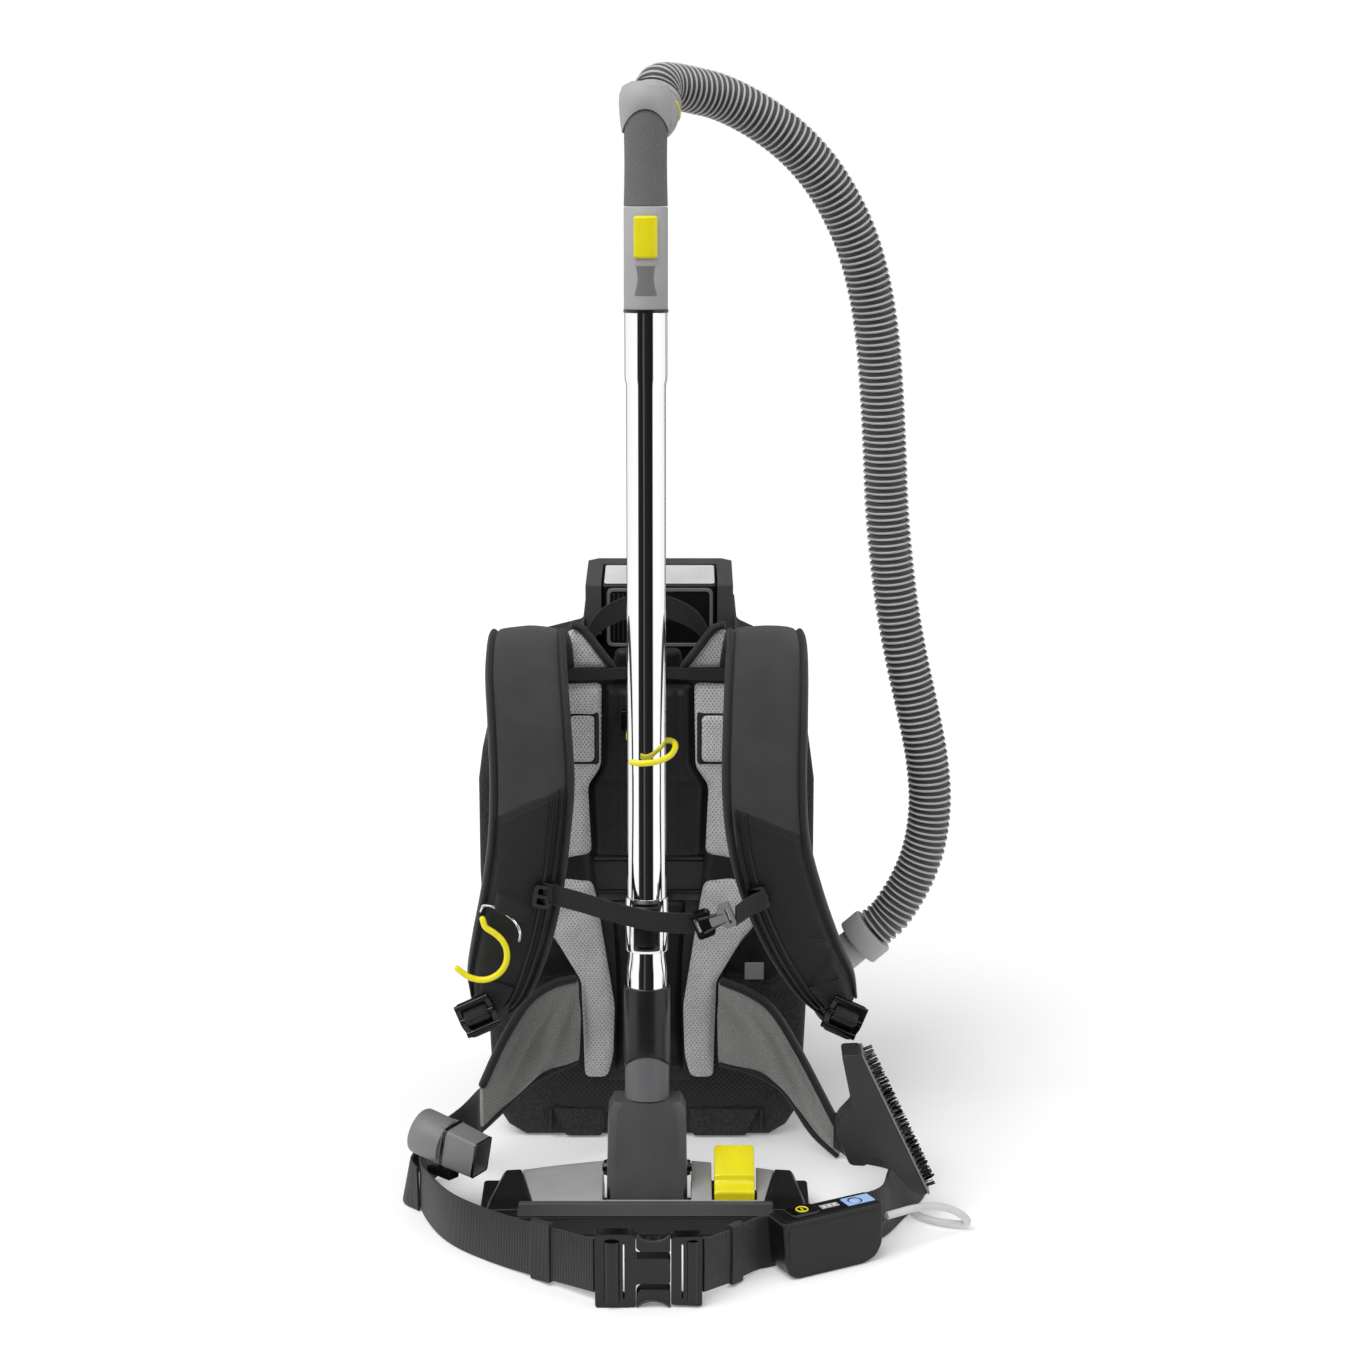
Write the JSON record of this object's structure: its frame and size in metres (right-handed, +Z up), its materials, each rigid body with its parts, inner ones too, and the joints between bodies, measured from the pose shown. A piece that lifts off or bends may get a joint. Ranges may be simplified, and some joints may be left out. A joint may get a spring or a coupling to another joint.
{
  "type": "backpack vacuum cleaner",
  "caption": "Battery backpack vacuum: moulded casing on a padded harness, waist belt with control box, telescopic wand parked in a hook with floor nozzle and hose.",
  "frame": {"origin": "centre of the casing's flat bottom face, on the surface that the vacuum stands on", "axes": "+Z up; -Y is the harness side, against the wearer's back; +X to the right seen from that side"},
  "size_m": [0.5118, 0.617, 1.0272],
  "materials": {
    "foam_shell": "grainy expanded foam",
    "dark_plastic": "fine satin grain",
    "black_plastic": "glossy moulded",
    "grey_plastic": "satin moulded",
    "mid_plastic": "satin moulded",
    "grip_rubber": "fine textured",
    "yellow_plastic": "glossy moulded",
    "chrome_tube": "polished",
    "steel_pin": "turned",
    "spacer_mesh": "light spacer mesh",
    "fin_mesh": "grey stretch mesh",
    "black_fabric": "woven nylon",
    "webbing": "ribbed webbing",
    "filter_fleece": "fleece",
    "hose_plastic": "corrugated",
    "cable_sheath": "smooth",
    "panel_blue": "printed film"
  },
  "bodies": {
    "root": {"casing_shell": "foam_shell", "lid_hinge_pin": "steel_pin", "battery_hood": "dark_plastic", "motor_housing": "mid_plastic", "filter_bag": "filter_fleece", "exhaust_filter": "filter_fleece", "hose_port": "mid_plastic", "frame_plate": "dark_plastic", "centre_pad": "black_fabric", "back_pad_left": "spacer_mesh", "back_pad_right": "spacer_mesh", "shoulder_strap_left": "black_fabric", "shoulder_strap_right": "black_fabric", "strap_adjuster_left": "black_plastic", "strap_adjuster_right": "black_plastic", "carry_handle": "webbing", "chest_webbing_left": "webbing", "chest_webbing_right": "webbing", "chest_buckle_socket": "black_plastic", "chest_buckle_plug": "mid_plastic", "hip_fin_left": "fin_mesh", "hip_fin_right": "fin_mesh", "belt_left": "webbing", "belt_right": "webbing", "waist_buckle_socket": "black_plastic", "waist_buckle_plug": "black_plastic", "control_box": "dark_plastic", "cable_gland": "black_plastic", "control_cable": "cable_sheath", "wand_hook": "yellow_plastic", "crevice_tool": "mid_plastic", "upholstery_tool": "dark_plastic", "neck_socket": "black_plastic", "lower_tube": "chrome_tube", "hose": "hose_plastic"},
    "filter_lid": {"filter_lid": "dark_plastic"},
    "lid_latch": {"lid_latch": "yellow_plastic"},
    "battery": {"battery_pack": "black_plastic"},
    "battery_latch": {"battery_latch": "yellow_plastic"},
    "fan": {"fan_impeller": "grey_plastic"},
    "hose_collar": {"hose_collar": "grey_plastic"},
    "wand_upper": {"upper_tube": "chrome_tube", "tube_collar": "chrome_tube", "handle_body": "grey_plastic", "handle_grip": "grip_rubber", "handle_elbow": "grey_plastic"},
    "tube_button": {"tube_button": "black_plastic"},
    "air_slider": {"air_slider": "yellow_plastic"},
    "hose_ring": {"hose_ring": "dark_plastic"},
    "nozzle_yoke": {"nozzle_yoke": "dark_plastic", "swivel_neck": "dark_plastic"},
    "nozzle_head": {"nozzle_base": "dark_plastic", "nozzle_cover": "grey_plastic"},
    "nozzle_pedal": {"nozzle_pedal": "yellow_plastic"},
    "nozzle_wheels": {"nozzle_wheels": "dark_plastic"},
    "buckle_tab_upper": {"buckle_tab_upper": "black_plastic"},
    "buckle_tab_lower": {"buckle_tab_lower": "black_plastic"},
    "power_button": {"power_button": "black_plastic"},
    "mode_button": {"mode_button": "panel_blue"},
    "accessory_hook": {"accessory_hook": "yellow_plastic"}
  },
  "joints": [
    {"name": "lid_hinge", "type": "hinge", "parent": "root", "child": "filter_lid", "pos_m": [0, 0.13, 0.04], "axis": [-1, 0, 0], "range_deg": [0, 80]},
    {"name": "lid_latch_slide", "type": "slide", "parent": "filter_lid", "child": "lid_latch", "axis": [0, 0, -1], "range_m": [0, 0.008], "stiffness_N_per_m": 150},
    {"name": "battery_slide", "type": "slide", "parent": "root", "child": "battery", "axis": [0, 0, 1], "range_m": [0, 0.12]},
    {"name": "battery_latch_press", "type": "slide", "parent": "root", "child": "battery_latch", "axis": [0, -1, 0], "range_m": [0, 0.003], "stiffness_N_per_m": 300},
    {"name": "fan_spin", "type": "hinge", "parent": "root", "child": "fan", "pos_m": [0, 0, 0.1], "axis": [0, 0, 1], "continuous": true},
    {"name": "hose_collar_swivel", "type": "hinge", "parent": "root", "child": "hose_collar", "pos_m": [0.20605, 0, 0.16478], "axis": [0.7507, 0, 0.6606], "continuous": true},
    {"name": "wand_extend", "type": "slide", "parent": "root", "child": "wand_upper", "axis": [0, 0.1219, 0.9925], "range_m": [0, 0.3], "deforming": ["hose"]},
    {"name": "tube_button_slide", "type": "slide", "parent": "wand_upper", "child": "tube_button", "axis": [0, 0.1219, 0.9925], "range_m": [0, 0.006], "stiffness_N_per_m": 250},
    {"name": "air_slider_slide", "type": "slide", "parent": "wand_upper", "child": "air_slider", "axis": [0, -0.1219, -0.9925], "range_m": [0, 0.014]},
    {"name": "hose_ring_swivel", "type": "hinge", "parent": "wand_upper", "child": "hose_ring", "pos_m": [0.00927, -0.14194, 0.99494], "axis": [0.1468, 0.8388, 0.5243], "continuous": true},
    {"name": "nozzle_swivel", "type": "hinge", "parent": "root", "child": "nozzle_yoke", "pos_m": [0.002, -0.285, 0.035], "axis": [0, 0.1219, 0.9925], "range_deg": [-10, 10]},
    {"name": "nozzle_tilt", "type": "hinge", "parent": "nozzle_yoke", "child": "nozzle_head", "pos_m": [0.002, -0.288, 0.03], "axis": [1, 0, 0], "range_deg": [-5, 35]},
    {"name": "pedal_rock", "type": "hinge", "parent": "nozzle_head", "child": "nozzle_pedal", "pos_m": [0.081, -0.288, 0.026], "axis": [1, 0, 0], "range_deg": [0, 8]},
    {"name": "wheel_spin", "type": "hinge", "parent": "nozzle_head", "child": "nozzle_wheels", "pos_m": [0, -0.262, 0.0088], "axis": [1, 0, 0], "continuous": true},
    {"name": "buckle_tab_upper_press", "type": "slide", "parent": "root", "child": "buckle_tab_upper", "axis": [0, 0, -1], "range_m": [0, 0.004], "stiffness_N_per_m": 400},
    {"name": "buckle_tab_lower_press", "type": "slide", "parent": "root", "child": "buckle_tab_lower", "axis": [0, 0, 1], "range_m": [0, 0.004], "stiffness_N_per_m": 400},
    {"name": "power_button_press", "type": "slide", "parent": "root", "child": "power_button", "axis": [0, 0, -1], "range_m": [0, 0.0018], "stiffness_N_per_m": 400},
    {"name": "mode_button_press", "type": "slide", "parent": "root", "child": "mode_button", "axis": [0, 0, -1], "range_m": [0, 0.0012], "stiffness_N_per_m": 400},
    {"name": "accessory_hook_swing", "type": "hinge", "parent": "root", "child": "accessory_hook", "pos_m": [-0.138, -0.264, 0.271], "axis": [0, 1, 0], "range_deg": [-12, 12]}
  ]
}
